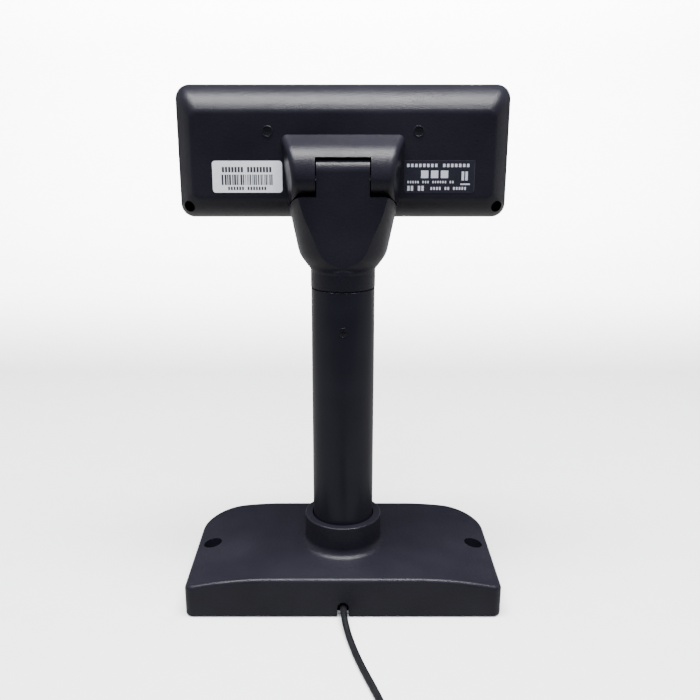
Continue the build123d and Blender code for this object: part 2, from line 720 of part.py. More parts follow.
def front_bezel():
    depth = FRONT_Y - PARTING_Y
    shell = extrude(head_section(PARTING_Y, 0.0, HEAD_CORNER), depth)
    front = shell.faces().sort_by(Axis.Y)[0]
    shell = fillet(front.edges(), 3.0)
    hollow = extrude(head_section(PARTING_Y + 1, HEAD_WALL, HEAD_CORNER - HEAD_WALL), depth - 1 + FRONT_WALL)
    lip = extrude(head_section(PARTING_Y, HEAD_WALL + 0.1, HEAD_CORNER - HEAD_WALL - 0.1), 2.6)
    lip += extrude(head_section(PARTING_Y, HEAD_WALL - 0.6, HEAD_CORNER - HEAD_WALL), -2.0)
    lip -= extrude(head_section(PARTING_Y - 3, HEAD_WALL + 1.3, HEAD_CORNER - HEAD_WALL - 1.3), 8)
    bezel = shell - hollow + lip
    wide, high = WINDOW_SIZE[0] / 2 + 0.15, WINDOW_SIZE[1] / 2 + 0.15
    bezel -= block(-wide, wide, FRONT_Y - 1, FRONT_Y + WINDOW_THICKNESS, MODULE_Z - high, MODULE_Z + high)
    wide, high = WINDOW_OPENING[0] / 2, WINDOW_OPENING[1] / 2
    bezel -= block(-wide, wide, FRONT_Y - 1, FRONT_Y + 5, MODULE_Z - high, MODULE_Z + high)
    for side in (-1, 1):
        x, z = side * CORNER_SCREW[0], CORNER_SCREW[1]
        bezel += rod((x, FRONT_Y + FRONT_WALL - 0.5, z), (x, WELL_FLOOR_Y - 3.1, z), 3.6)
        bezel -= rod((x, -39.5, z), (x, WELL_FLOOR_Y - 3, z), 1.42)
    for x, dz in corners(LCD_BOARD_SCREWS):
        z = MODULE_Z + dz
        bezel += rod((x, FRONT_Y + FRONT_WALL - 0.5, z), (x, LCD_BACK, z), 2.6)
        bezel -= rod((x, -39.9, z), (x, LCD_BACK + 1, z), 1.02)
    return bezel


def lower_cover_screws():
    x, z = CORNER_SCREW
    return group(back_screw(s * x, z, WELL_FLOOR_Y + 2.2, 2.8, 2.2, 1.4, 16.0) for s in (-1, 1))


def upper_cover_screws():
    x, z = UPPER_SCREW
    return group(back_screw(s * x, z, BACK_Y - 0.3, 2.55, 0.9, 1.5, 7.4) for s in (-1, 1))


def sticker(x, size):
    """A thin label with rounded corners on the back of the head."""
    plane = Plane(origin=(x, BACK_Y, LABEL_Z), x_dir=(1, 0, 0), z_dir=(0, 1, 0))
    return extrude(plane * RectangleRounded(*size, 1.9), LABEL_THICKNESS)


def barcode_label():
    return sticker(LABEL_X, LABEL_SIZE)


def rating_label():
    return sticker(-LABEL_X - 0.4, RATING_SIZE)


# ---------------------------------------------------------------- hinge


def hinge_pin():
    pin = rod((-PIN_HALF, HINGE_Y, HINGE_Z), (PIN_HALF, HINGE_Y, HINGE_Z), PIN_RADIUS)
    inner = BRACKET_X + BRACKET_THICKNESS
    pin += rod((inner, HINGE_Y, HINGE_Z), (inner + 2.6, HINGE_Y, HINGE_Z), 4.2)
    return chamfer(pin.edges().sort_by(Axis.X)[0], 0.5)


def hinge_washers():
    """Spring washers between the bracket and the nut."""
    face = -BRACKET_X - BRACKET_THICKNESS
    washers = []
    bore = rod((face + 1, HINGE_Y, HINGE_Z), (face - 3, HINGE_Y, HINGE_Z), PIN_RADIUS + 0.1)
    for start in (face, face - 0.9):
        washer = rod((start, HINGE_Y, HINGE_Z), (start - 0.8, HINGE_Y, HINGE_Z), 4.4)
        washers.append(washer - bore)
    return group(washers)


def hinge_nut():
    face = -BRACKET_X - BRACKET_THICKNESS - 1.8
    plane = Plane(origin=(face, HINGE_Y, HINGE_Z), z_dir=(-1, 0, 0))
    nut = extrude(plane * RegularPolygon(4.4, 6), 3.4)
    return nut - rod((face + 1, HINGE_Y, HINGE_Z), (face - 5, HINGE_Y, HINGE_Z), PIN_RADIUS)


def hinge_bracket():
    """Steel plate on the inside of the cover, with two ears that carry the pin."""
    wide, low, high = BRACKET_PLATE
    front, rear = BACK_Y - HEAD_WALL - BRACKET_THICKNESS, BACK_Y - HEAD_WALL
    bracket = block(-wide / 2, wide / 2, front, rear, low, high)
    bracket = chamfer(bracket.edges().filter_by(Axis.Y), 3.0)
    for side in (-1, 1):
        x0, x1 = sorted((side * BRACKET_X, side * (BRACKET_X + BRACKET_THICKNESS)))
        bracket += block(x0, x1, front, HINGE_Y, HINGE_Z - 4.2, HINGE_Z + 5.2)
        bracket += rod((x0, HINGE_Y, HINGE_Z), (x1, HINGE_Y, HINGE_Z), 5.2)
        x, z = side * UPPER_SCREW[0], UPPER_SCREW[1]
        bracket -= rod((x, front - 1, z), (x, rear + 1, z), 1.5)
        x, z = side * BRACKET_SCREW[0], BRACKET_SCREW[1]
        bracket -= rod((x, front - 1, z), (x, rear + 1, z), 1.6)
    bracket -= rod((-60, HINGE_Y, HINGE_Z), (60, HINGE_Y, HINGE_Z), PIN_RADIUS)
    return bracket - block(-9, 9, front - 1, rear + 1, low - 1, 278)


# ---------------------------------------------------------------- display module


def panel(size, front, rear, corner=0.5):
    """A flat part that faces the front, centred on the display."""
    plane = Plane(origin=(0, front, MODULE_Z), x_dir=(1, 0, 0), z_dir=(0, 1, 0))
    return extrude(plane * RectangleRounded(*size, corner), rear - front)


def display_window():
    return panel(WINDOW_SIZE, FRONT_Y, FRONT_Y + WINDOW_THICKNESS - 0.02, 1.0)


def lcd_frame():
    wide, high = LCD_FRAME_SIZE
    frame = panel(LCD_FRAME_SIZE, LCD_FRONT, LCD_BACK, 1.0)
    frame -= panel((wide - 1.2, high - 1.2), LCD_FRONT + 0.6, LCD_BACK + 1)
    return frame - panel(LCD_VIEW, LCD_FRONT - 1, LCD_BACK)


def lcd_glass():
    return panel(LCD_GLASS_SIZE, LCD_FRONT + 0.6, LCD_FRONT + 2.8, 0.3)


def backlight():
    return panel(LCD_GLASS_SIZE, LCD_FRONT + 2.9, LCD_BACK, 0.3)


def lcd_board():
    board = panel(LCD_BOARD_SIZE, LCD_BACK, LCD_BACK + BOARD_THICKNESS, 1.5)
    for x, dz in corners(LCD_BOARD_SCREWS):
        board -= rod((x, -60, MODULE_Z + dz), (x, 0, MODULE_Z + dz), 1.3)
    for x, dz in corners(CONTROLLER_SCREWS):
        board -= rod((x, -60, MODULE_Z + dz), (x, 0, MODULE_Z + dz), 1.2)
    return board


def lcd_board_screws():
    face = LCD_BACK + BOARD_THICKNESS + 1.3
    places = corners(LCD_BOARD_SCREWS)
    return group(back_screw(x, MODULE_Z + dz, face, 2.1, 1.3, 1.0, 7.0) for x, dz in places)


def board_spacers():
    spacers = []
    for x, dz in corners(CONTROLLER_SCREWS):
        start, end = LCD_BACK + BOARD_THICKNESS, CONTROLLER_Y
        plane = Plane(origin=(x, start, MODULE_Z + dz), z_dir=(0, 1, 0))
        spacer = extrude(plane * RegularPolygon(2.9, 6), end - start)
        spacer += rod((x, LCD_BACK, MODULE_Z + dz), (x, start, MODULE_Z + dz), 1.15)
        spacers.append(spacer - rod((x, end - 5, MODULE_Z + dz), (x, end + 1, MODULE_Z + dz), 1.02))
    return group(spacers)


def controller_board():
    board = panel(CONTROLLER_SIZE, CONTROLLER_Y, CONTROLLER_Y + BOARD_THICKNESS, 1.5)
    for x, dz in corners(CONTROLLER_SCREWS):
        board -= rod((x, -60, MODULE_Z + dz), (x, 0, MODULE_Z + dz), 1.3)
    return board


def controller_screws():
    face = CONTROLLER_Y + BOARD_THICKNESS + 1.3
    places = corners(CONTROLLER_SCREWS)
    return group(back_screw(x, MODULE_Z + dz, face, 2.1, 1.3, 1.0, 6.0) for x, dz in places)


def board_chips():
    """Chips and capacitors on the rear of the controller board."""
    face = CONTROLLER_Y + BOARD_THICKNESS
    chips = []
    for x, z, wide, high, tall in ((-18, 287, 12, 12, 1.4), (4, 296, 10, 6, 1.5), (24, 281, 8, 5, 1.5)):
        chips.append(block(x - wide / 2, x + wide / 2, face, face + tall, z - high / 2, z + high / 2))
    for x in (38.0, 47.0):
        chips.append(rod((x, face, 296), (x, face + 7.5, 296), 3.15))
    return group(chips)


def board_header():
    """Pin header between the two boards."""
    return block(-42, 10, LCD_BACK + BOARD_THICKNESS, CONTROLLER_Y, 301.5, 304.0)


def cable_socket():
    face = CONTROLLER_Y + BOARD_THICKNESS
    return block(-7.5, 7.5, face, face + 6.0, 269.0, 274.8)


# ---------------------------------------------------------------- cable and cord


def tube(points, radii):
    """A round cable along straight runs joined by tangent arcs."""
    path = FilletPolyline(*points, radius=radii)
    start = Plane(origin=path @ 0, z_dir=path % 0)
    return sweep(start * Circle(CORD / 2), path)


def corner_radii(points):
    """The largest arcs that the runs allow, one for each corner of a route."""
    radii = []
    for a, b, c in zip(points, points[1:], points[2:]):
        before, after = Vector(*b) - Vector(*a), Vector(*c) - Vector(*b)
        half_turn = radians(before.get_angle(after)) / 2
        radii.append(0.45 * min(before.length, after.length) / tan(half_turn))
    return radii


def cable_clamp():
    """Bridge that holds the cable down on the base plate."""
    top = FOOT_HEIGHT + PLATE_THICKNESS
    clamp = block(-10, 10, *CLAMP_Y, top, top + CLAMP_HEIGHT)
    clamp = fillet(clamp.edges().filter_by(Axis.Y).sort_by(Axis.Z)[2:], 1.2)
    clamp -= rod((0, 20, CABLE_Z), (0, 50, CABLE_Z), CORD / 2)
    clamp -= block(-CORD / 2, CORD / 2, 20, 50, top - 1, CABLE_Z)
    for x, y in clamp_screw_places():
        clamp -= upright(x, y, 0, 20, LOOSE)
    return clamp


def clamp_screw_places():
    return [(side * 6.6, sum(CLAMP_Y) / 2) for side in (-1, 1)]


def clamp_screws():
    seat = FOOT_HEIGHT + PLATE_THICKNESS + CLAMP_HEIGHT
    screws = []
    for x, y in clamp_screw_places():
        screw = upright(x, y, seat, seat + 1.8, SMALL_HEAD)
        screw += upright(x, y, FOOT_HEIGHT + 0.3, seat + 1, SHANK - 0.05)
        screws.append(screw - cross_slot(x, y, seat + 1.8, -1))
    return group(screws)


def strain_relief():
    """Tapered sleeve on the cable, just inside the notch."""
    return rod((0, CLAMP_Y[1], CABLE_Z), (0, RELIEF_END, CABLE_Z), 3.0, 2.4)


def pole_cable():
    points = [(0, CLAMP_Y[1], CABLE_Z), (0, 16, CABLE_Z), (0, 0, 21.8), (0, 0, SEAM)]
    return tube(points, [14.0, 14.0])


def neck_cable():
    points = [(0, 0, SEAM + 0.1), (0, 0, 222), (0, 4.0, 240), (0, 5.4, 259)]
    return tube(points, [40.0, 60.0])


def head_cable():
    points = [(0, BACK_Y, 264), (0, -9, 265.5), (0, -14.3, 272)]
    return tube(points, [7.0])


def power_cord():
    return tube(CORD_ROUTE, corner_radii(CORD_ROUTE))


def coil_radii():
    """Inside and outside radius of the coil."""
    spread = TURN_PITCH * COIL_COLUMNS / 2
    return COIL_MEAN - spread, COIL_MEAN + spread


def coil_centre():
    outer_turn = COIL_MEAN + TURN_PITCH * (COIL_COLUMNS - 1) / 2
    return CORD_ROUTE[-1][0] + outer_turn, CORD_ROUTE[-1][1]


def cord_coil():
    """The coil's turns as one ring of their outer size."""
    x, y = coil_centre()
    inside, outside = coil_radii()
    top = TIE_THICKNESS + TURN_PITCH * COIL_LAYERS
    return upright(x, y, TIE_THICKNESS, top, outside) - upright(x, y, 0, top + 1, inside)


def coil_tie():
    """Strap round the coil's turns."""
    x, y = coil_centre()
    inside, outside = coil_radii()
    top = TIE_THICKNESS + TURN_PITCH * COIL_LAYERS
    half = TIE_WIDTH / 2
    band = block(inside - TIE_THICKNESS, outside + TIE_THICKNESS, -half, half, 0, top + TIE_THICKNESS)
    band = fillet(band.edges().filter_by(Axis.Y), 1.6)
    band -= block(inside, outside, -half - 1, half + 1, TIE_THICKNESS, top)
    return Pos(x, y, 0) * Rot(0, 0, TIE_ANGLE) * band


def cord_tail():
    return tube(TAIL_ROUTE, corner_radii(TAIL_ROUTE))


def plug_place():
    return Pos(*TAIL_ROUTE[-1]) * Rot(0, 0, PLUG_YAW)


def plug_overmould():
    length, wide, high = PLUG_BODY
    body = block(PLUG_BOOT, PLUG_BOOT + length, -wide / 2, wide / 2, -high / 2, high / 2)
    body = fillet(body.edges().filter_by(Axis.X), 2.4)
    body += rod((0, 0, 0), (PLUG_BOOT + 0.5, 0, 0), CORD / 2 + 0.5, 3.6)
    return plug_place() * body


def plug_shell():
    length, wide, high = PLUG_SHELL
    start = PLUG_BOOT + PLUG_BODY[0]
    shell = block(start, start + length, -wide / 2, wide / 2, -high / 2, high / 2)
    wall = PLUG_SHELL_WALL
    half_wide, half_high = wide / 2 - wall, high / 2 - wall
    shell -= block(start + 0.6, start + length + 1, -half_wide, half_wide, -half_high, half_high)
    for y in (-2.6, 2.6):
        shell -= block(start + 9.6, start + 12.0, y - 1.2, y + 1.2, -high, high)
    return plug_place() * shell


def plug_tongue():
    length, wide, high = PLUG_SHELL
    start = PLUG_BOOT + PLUG_BODY[0] + 0.6
    half = wide / 2 - PLUG_SHELL_WALL
    tongue = block(start, start + length - 1.6, -half, half, PLUG_SHELL_WALL - high / 2, -0.4)
    return plug_place() * tongue


PARTS = {
    "base_cover": base_cover,
    "pole_collar": pole_collar,
    "base_plate": base_plate,
    "plate_screws": plate_screws,
    "rubber_feet": rubber_feet,
    "pole_tube": pole_tube,
    "pole_flange": pole_flange,
    "flange_screws": flange_screws,
    "pole_screw": pole_screw,
    "cable_clamp": cable_clamp,
    "clamp_screws": clamp_screws,
    "strain_relief": strain_relief,
    "pole_cable": pole_cable,
    "power_cord": power_cord,
    "cord_coil": cord_coil,
    "coil_tie": coil_tie,
    "cord_tail": cord_tail,
    "plug_overmould": plug_overmould,
    "plug_shell": plug_shell,
    "plug_tongue": plug_tongue,
    "swivel_spigot": swivel_spigot,
    "friction_ring": friction_ring,
    "spigot_screws": spigot_screws,
    "neck_body": neck_body,
    "neck_front_cover": neck_front_cover,
    "neck_cover_screws": neck_cover_screws,
    "friction_sleeve": friction_sleeve,
    "neck_cable": neck_cable,
    "rear_cover": rear_cover,
    "front_bezel": front_bezel,
    "lower_cover_screws": lower_cover_screws,
    "upper_cover_screws": upper_cover_screws,
    "barcode_label": barcode_label,
    "rating_label": rating_label,
    "hinge_pin": hinge_pin,
    "hinge_washers": hinge_washers,
    "hinge_nut": hinge_nut,
    "hinge_bracket": hinge_bracket,
    "display_window": display_window,
    "lcd_frame": lcd_frame,
    "lcd_glass": lcd_glass,
    "backlight": backlight,
    "lcd_board": lcd_board,
    "lcd_board_screws": lcd_board_screws,
    "board_spacers": board_spacers,
    "controller_board": controller_board,
    "controller_screws": controller_screws,
    "board_chips": board_chips,
    "board_header": board_header,
    "cable_socket": cable_socket,
    "head_cable": head_cable,
}

os.makedirs("parts", exist_ok=True)
for node, make in PARTS.items():
    shape = make()
    export_step(shape, f"parts/{node}.step")
    print(node, len(shape.solids()), round(sum(s.volume for s in shape.solids())))
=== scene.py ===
"""Looks of the customer pole display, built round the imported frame. Metres, +Z up, screen towards -Y."""
import json
import math
import random

import bmesh
import bpy
from mathutils import Matrix, Vector


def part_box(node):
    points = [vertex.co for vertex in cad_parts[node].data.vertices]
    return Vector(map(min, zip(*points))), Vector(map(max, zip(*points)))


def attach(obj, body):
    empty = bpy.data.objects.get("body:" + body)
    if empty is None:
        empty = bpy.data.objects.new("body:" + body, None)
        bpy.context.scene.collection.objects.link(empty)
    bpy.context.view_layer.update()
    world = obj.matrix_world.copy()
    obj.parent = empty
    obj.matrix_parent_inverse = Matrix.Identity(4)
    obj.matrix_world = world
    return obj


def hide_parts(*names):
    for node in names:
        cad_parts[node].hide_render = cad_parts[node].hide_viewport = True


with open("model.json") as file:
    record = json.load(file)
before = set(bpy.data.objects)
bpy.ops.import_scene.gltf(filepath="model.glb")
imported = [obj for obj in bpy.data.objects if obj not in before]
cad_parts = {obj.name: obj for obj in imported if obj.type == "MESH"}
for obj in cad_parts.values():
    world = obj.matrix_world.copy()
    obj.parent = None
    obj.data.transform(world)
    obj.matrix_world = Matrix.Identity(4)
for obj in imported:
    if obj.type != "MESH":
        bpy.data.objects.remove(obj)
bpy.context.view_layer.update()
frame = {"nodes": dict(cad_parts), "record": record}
MM = 0.001


# ---- camera ----
LENS = 41.49  # millimetres, as is the sensor's width
SENSOR = 36.0
CAMERA_SHIFT = 0.0100
CAMERA_PLACE = (0.0, 0.4975, 0.310)
CAMERA_DIP = 16.55  # degrees below level


def make_camera():
    """Camera behind the display, as high as its head, looking down a little."""
    data = bpy.data.cameras.new("camera")
    data.lens = LENS
    data.sensor_width = SENSOR
    data.shift_x = CAMERA_SHIFT
    camera = bpy.data.objects.new("camera", data)
    camera.location = CAMERA_PLACE
    camera.rotation_euler = (math.radians(90.0 - CAMERA_DIP), 0.0, math.radians(180.0))
    bpy.context.scene.collection.objects.link(camera)
    bpy.context.scene.camera = camera


make_camera()


# ---- materials ----
EVEN = (1.0, 1.0, 1.0)  # no stretch along any axis


class Shader:
    """One node material: a Principled shader and a few helpers that feed it."""

    def __init__(self, name, **sockets):
        """Sockets are the shader's own, with _ for each space in their names."""
        self.material = bpy.data.materials.new(name)
        self.material.use_nodes = True
        self.tree = self.material.node_tree
        self.shader = self.tree.nodes["Principled BSDF"]
        self.place = self.add("ShaderNodeTexCoord").outputs["Object"]
        for socket, value in sockets.items():
            self.shader.inputs[socket.replace("_", " ")].default_value = value

    def add(self, kind, **settings):
        """New node of this kind."""
        node = self.tree.nodes.new(kind)
        for key, value in settings.items():
            setattr(node, key, value)
        return node

    def link(self, output, target):
        """Feed target from output."""
        self.tree.links.new(output, target)

    def noise(self, size, detail=2.0, roughness=0.5, stretch=EVEN):
        """Noise whose grains are about size metres across."""
        node = self.add("ShaderNodeTexNoise")
        node.inputs["Scale"].default_value = 1.0 / size
        node.inputs["Detail"].default_value = detail
        node.inputs["Roughness"].default_value = roughness
        self.link(self.stretched(stretch), node.inputs["Vector"])
        return node.outputs["Fac"]

    def cells(self, size):
        """Rounded cells about size metres across, as spark-eroded plastic shows."""
        node = self.add("ShaderNodeTexVoronoi", feature="SMOOTH_F1")
        node.inputs["Scale"].default_value = 1.0 / size
        node.inputs["Smoothness"].default_value = 0.45
        self.link(self.place, node.inputs["Vector"])
        return node.outputs["Distance"]

    def stretched(self, stretch):
        """Place on the object, multiplied along each axis."""
        if stretch == EVEN:
            return self.place
        node = self.add("ShaderNodeVectorMath", operation="MULTIPLY")
        node.inputs[1].default_value = stretch
        self.link(self.place, node.inputs[0])
        return node.outputs["Vector"]

    def span(self, value, low, high, start=0.3, end=0.7):
        """Value from start to end, spread over low to high."""
        node = self.add("ShaderNodeMapRange")
        node.inputs["From Min"].default_value = start
        node.inputs["From Max"].default_value = end
        node.inputs["To Min"].default_value = low
        node.inputs["To Max"].default_value = high
        self.link(value, node.inputs["Value"])
        return node.outputs["Result"]

    def colours(self, value, low, high, start=0.3, end=0.7):
        """Colour that runs from low to high as value goes from start to end."""
        node = self.add("ShaderNodeValToRGB")
        node.color_ramp.elements[0].position = start
        node.color_ramp.elements[0].color = (*low, 1.0)
        node.color_ramp.elements[1].position = end
        node.color_ramp.elements[1].color = (*high, 1.0)
        self.link(value, node.inputs["Fac"])
        return node.outputs["Color"]

    def total(self, first, second, share):
        """First plus share times second."""
        node = self.add("ShaderNodeMath", operation="MULTIPLY_ADD")
        node.inputs[1].default_value = share
        self.link(second, node.inputs[0])
        self.link(first, node.inputs[2])
        return node.outputs["Value"]

    def finish(self, colour, roughness, height=None, depth=0.0):
        """Feed the shader, with height as bumps that are depth deep, and return the material."""
        self.link(colour, self.shader.inputs["Base Color"])
        self.link(roughness, self.shader.inputs["Roughness"])
        if height is not None:
            bump = self.add("ShaderNodeBump")
            bump.inputs["Strength"].default_value = 1.0
            bump.inputs["Distance"].default_value = depth
            self.link(height, bump.inputs["Height"])
            self.link(bump.outputs["Normal"], self.shader.inputs["Normal"])
        return self.material


def textured_plastic(name, low, high, rough=(0.28, 0.36), grain=0.6 * MM, depth=0.10 * MM):
    """Moulded plastic with a fine spark-eroded grain and a slow drift of tone."""
    s = Shader(name, Specular_IOR_Level=0.31)
    height = s.cells(grain)
    speck = s.noise(grain * 0.7)
    colour = s.colours(s.total(s.noise(40 * MM), speck, 0.4), low, high, 0.5, 0.9)
    roughness = s.span(s.total(s.noise(30 * MM), speck, 0.3), *rough, 0.45, 0.85)
    return s.finish(colour, roughness, s.total(height, s.noise(grain * 0.6, 1.0), 0.8), depth)


def coated_metal(name, low, high, rough):
    """Powder-coated metal with a light orange peel."""
    s = Shader(name, Specular_IOR_Level=0.22)
    colour = s.colours(s.noise(25 * MM, 1.0), low, high, 0.2, 0.8)
    roughness = s.span(s.noise(30 * MM, 1.0), *rough, 0.2, 0.8)
    return s.finish(colour, roughness, s.noise(0.9 * MM, 1.0), 0.012 * MM)


def plated_metal(name, low, high, rough=(0.22, 0.42), brush=EVEN):
    """Bare or plated metal, with streaks along one axis where brush is uneven."""
    s = Shader(name, Metallic=1.0)
    streak = s.noise(2.5 * MM, 4.0, 0.6, brush)
    return s.finish(s.colours(streak, low, high), s.span(streak, *rough), s.noise(0.4 * MM), 0.01 * MM)


def soft_rubber(name, low, high, rough=(0.5, 0.68)):
    """Rubber or soft PVC, nearly matt."""
    s = Shader(name, Specular_IOR_Level=0.25, Sheen_Weight=0.02, Sheen_Roughness=0.5)
    colour = s.colours(s.noise(4 * MM, 4.0), low, high)
    return s.finish(colour, s.span(s.noise(1.5 * MM), *rough), s.noise(0.5 * MM), 0.03 * MM)


def clear_acrylic(name):
    """Dark-tinted polished window."""
    s = Shader(name, Transmission_Weight=0.85, IOR=1.49, Coat_Weight=0.4, Coat_Roughness=0.03)
    smudge = s.noise(22 * MM, 3.0)
    return s.finish(s.colours(smudge, (0.30, 0.31, 0.34), (0.36, 0.37, 0.40)), s.span(smudge, 0.015, 0.05))


def liquid_crystal(name):
    """Unlit negative display glass: near black with a green-blue cast and faint banding."""
    s = Shader(name, Coat_Weight=0.6, Coat_Roughness=0.05)
    band = s.noise(30 * MM, stretch=(1.0, 1.0, 0.3))
    return s.finish(s.colours(band, (0.010, 0.022, 0.024), (0.016, 0.032, 0.034)), s.span(band, 0.14, 0.22))


def woven_strap(name):
    """Hook-and-loop strap: a fuzzy black weave."""
    s = Shader(name, Specular_IOR_Level=0.2, Sheen_Weight=0.06, Sheen_Roughness=0.6)
    weave = s.add("ShaderNodeTexWave", wave_type="BANDS", bands_direction="DIAGONAL")
    weave.inputs["Scale"].default_value = 900.0
    weave.inputs["Distortion"].default_value = 1.5
    s.link(s.place, weave.inputs["Vector"])
    height = s.total(weave.outputs["Fac"], s.noise(0.25 * MM), 0.8)
    colour = s.colours(height, (0.006, 0.006, 0.008), (0.020, 0.020, 0.023), 0.4, 1.2)
    return s.finish(colour, s.span(height, 0.75, 0.95, 0.3, 1.2), height, 0.12 * MM)


def label_stock(name, low, high):
    """Printed label film, slightly uneven."""
    s = Shader(name, Coat_Weight=0.1, Coat_Roughness=0.2)
    fibre = s.noise(1.2 * MM, 3.0)
    return s.finish(s.colours(fibre, low, high), s.span(s.noise(4 * MM), 0.32, 0.42), fibre, 0.006 * MM)


def circuit_board(name):
    """Green solder mask with copper runs under it."""
    s = Shader(name, Coat_Weight=0.3, Coat_Roughness=0.2)
    runs = s.add("ShaderNodeTexBrick", offset=0.37)
    runs.inputs["Scale"].default_value = 160.0
    runs.inputs["Mortar Size"].default_value = 0.03
    runs.inputs["Color1"].default_value = (0.012, 0.085, 0.030, 1.0)
    runs.inputs["Color2"].default_value = (0.016, 0.105, 0.038, 1.0)
    runs.inputs["Mortar"].default_value = (0.035, 0.170, 0.065, 1.0)
    turn = s.add("ShaderNodeMapping")
    turn.inputs["Rotation"].default_value = (math.radians(90.0), 0.0, 0.0)
    s.link(s.place, turn.inputs["Vector"])
    s.link(turn.outputs["Vector"], runs.inputs["Vector"])
    roughness = s.span(s.noise(3 * MM), 0.25, 0.4)
    return s.finish(runs.outputs["Color"], roughness, runs.outputs["Fac"], 0.03 * MM)


def ink(name, low, high):
    """Printing ink, nearly even."""
    s = Shader(name)
    speck = s.noise(0.3 * MM)
    return s.finish(s.colours(speck, low, high), s.span(speck, 0.35, 0.5))


def display_cell(name):
    """Unlit character cell: a shade lighter than the glass round it."""
    s = Shader(name, Coat_Weight=0.4, Coat_Roughness=0.08)
    shade = s.noise(2.0 * MM)
    return s.finish(s.colours(shade, (0.020, 0.040, 0.042), (0.028, 0.052, 0.054)), s.span(shade, 0.18, 0.26))


# Colours run from low to high, and rough is the range of roughness.
BLACK_LOW = (0.0070, 0.0068, 0.0106)
BLACK_HIGH = (0.0108, 0.0105, 0.0154)
STEEL_LOW = (0.42, 0.43, 0.44)
STEEL_HIGH = (0.62, 0.62, 0.63)

FINISHES = {
    "textured_abs": (textured_plastic, dict(low=BLACK_LOW, high=BLACK_HIGH)),
    "bezel_abs": (textured_plastic, dict(low=BLACK_LOW, high=BLACK_HIGH, grain=0.5 * MM)),
    "pole_paint": (coated_metal, dict(low=(0.0065, 0.0065, 0.0100), high=(0.0100, 0.0100, 0.0145),
                                      rough=(0.27, 0.34))),
    "zinc_steel": (plated_metal, dict(low=STEEL_LOW, high=STEEL_HIGH, brush=(1.0, 0.15, 1.0))),
    "screw_steel": (plated_metal, dict(low=STEEL_LOW, high=STEEL_HIGH)),
    "black_screw": (coated_metal, dict(low=(0.006, 0.006, 0.008), high=(0.016, 0.016, 0.018),
                                       rough=(0.28, 0.42))),
    "pin_steel": (plated_metal, dict(low=(0.48, 0.48, 0.50), high=(0.66, 0.66, 0.67),
                                     rough=(0.18, 0.30), brush=(0.1, 1.0, 1.0))),
    "foot_rubber": (soft_rubber, dict(low=(0.012, 0.012, 0.012), high=(0.030, 0.030, 0.030),
                                      rough=(0.7, 0.85))),
    "ring_rubber": (soft_rubber, dict(low=(0.020, 0.020, 0.020), high=(0.040, 0.040, 0.040))),
    "relief_rubber": (soft_rubber, dict(low=(0.010, 0.010, 0.011), high=(0.022, 0.022, 0.023))),
    "cable_jacket": (soft_rubber, dict(low=(0.004, 0.004, 0.005), high=(0.009, 0.009, 0.011),
                                       rough=(0.34, 0.46))),
    "tie_nylon": (woven_strap, {}),
    "nylon_black": (textured_plastic, dict(low=(0.012, 0.012, 0.013), high=(0.026, 0.026, 0.028),
                                           rough=(0.45, 0.6))),
    "acetal_grey": (textured_plastic, dict(low=(0.26, 0.26, 0.27), high=(0.34, 0.34, 0.35),
                                           rough=(0.3, 0.4))),
    "plug_pvc": (textured_plastic, dict(low=(0.005, 0.005, 0.006), high=(0.011, 0.011, 0.013),
                                        rough=(0.4, 0.52), depth=0.04 * MM)),
    "plug_metal": (plated_metal, dict(low=(0.58, 0.58, 0.57), high=(0.74, 0.74, 0.72),
                                      rough=(0.14, 0.26), brush=(0.2, 1.0, 1.0))),
    "plug_insert": (textured_plastic, dict(low=(0.62, 0.62, 0.60), high=(0.72, 0.72, 0.70),
                                           rough=(0.35, 0.45))),
    "label_white": (label_stock, dict(low=(0.74, 0.74, 0.75), high=(0.82, 0.82, 0.83))),
    "label_dark": (label_stock, dict(low=(0.0110, 0.0110, 0.0170), high=(0.0150, 0.0150, 0.0220))),
    "window_acrylic": (clear_acrylic, {}),
    "lcd_frame_black": (coated_metal, dict(low=(0.010, 0.010, 0.011), high=(0.020, 0.020, 0.021),
                                           rough=(0.35, 0.45))),
    "lcd_cell": (liquid_crystal, {}),
    "backlight_diffuser": (label_stock, dict(low=(0.70, 0.72, 0.70), high=(0.80, 0.82, 0.80))),
    "board_green": (circuit_board, {}),
    "spacer_brass": (plated_metal, dict(low=(0.55, 0.40, 0.14), high=(0.72, 0.56, 0.24))),
    "chip_epoxy": (textured_plastic, dict(low=(0.016, 0.016, 0.016), high=(0.030, 0.030, 0.030),
                                          rough=(0.5, 0.65))),
    "socket_nylon": (textured_plastic, dict(low=(0.62, 0.60, 0.54), high=(0.74, 0.72, 0.66),
                                            rough=(0.35, 0.5))),
}
MATERIALS = {slot: maker(slot, **values) for slot, (maker, values) in FINISHES.items()}


def paint_nodes():
    """Every CAD node gets its slot's material."""
    for part in frame["record"]["subparts"]:
        node = frame["nodes"][part["node"]]
        node.data.materials.clear()
        node.data.materials.append(MATERIALS[part["material_slot"]])


paint_nodes()


# ---- making meshes ----
def mesh_object(name, mesh_maker, material):
    """Object with the mesh that mesh_maker(bmesh) builds."""
    bm = bmesh.new()
    mesh_maker(bm)
    bmesh.ops.recalc_face_normals(bm, faces=bm.faces)
    mesh = bpy.data.meshes.new(name)
    bm.to_mesh(mesh)
    bm.free()
    mesh.materials.append(material)
    made = bpy.data.objects.new(name, mesh)
    bpy.context.scene.collection.objects.link(made)
    return made


def piece(name, mesh_maker, body, slot, material=None):
    """Piece of the object, riding on body, in its slot's material or its own."""
    made = mesh_object(name, mesh_maker, material or MATERIALS[slot])
    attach(made, body)


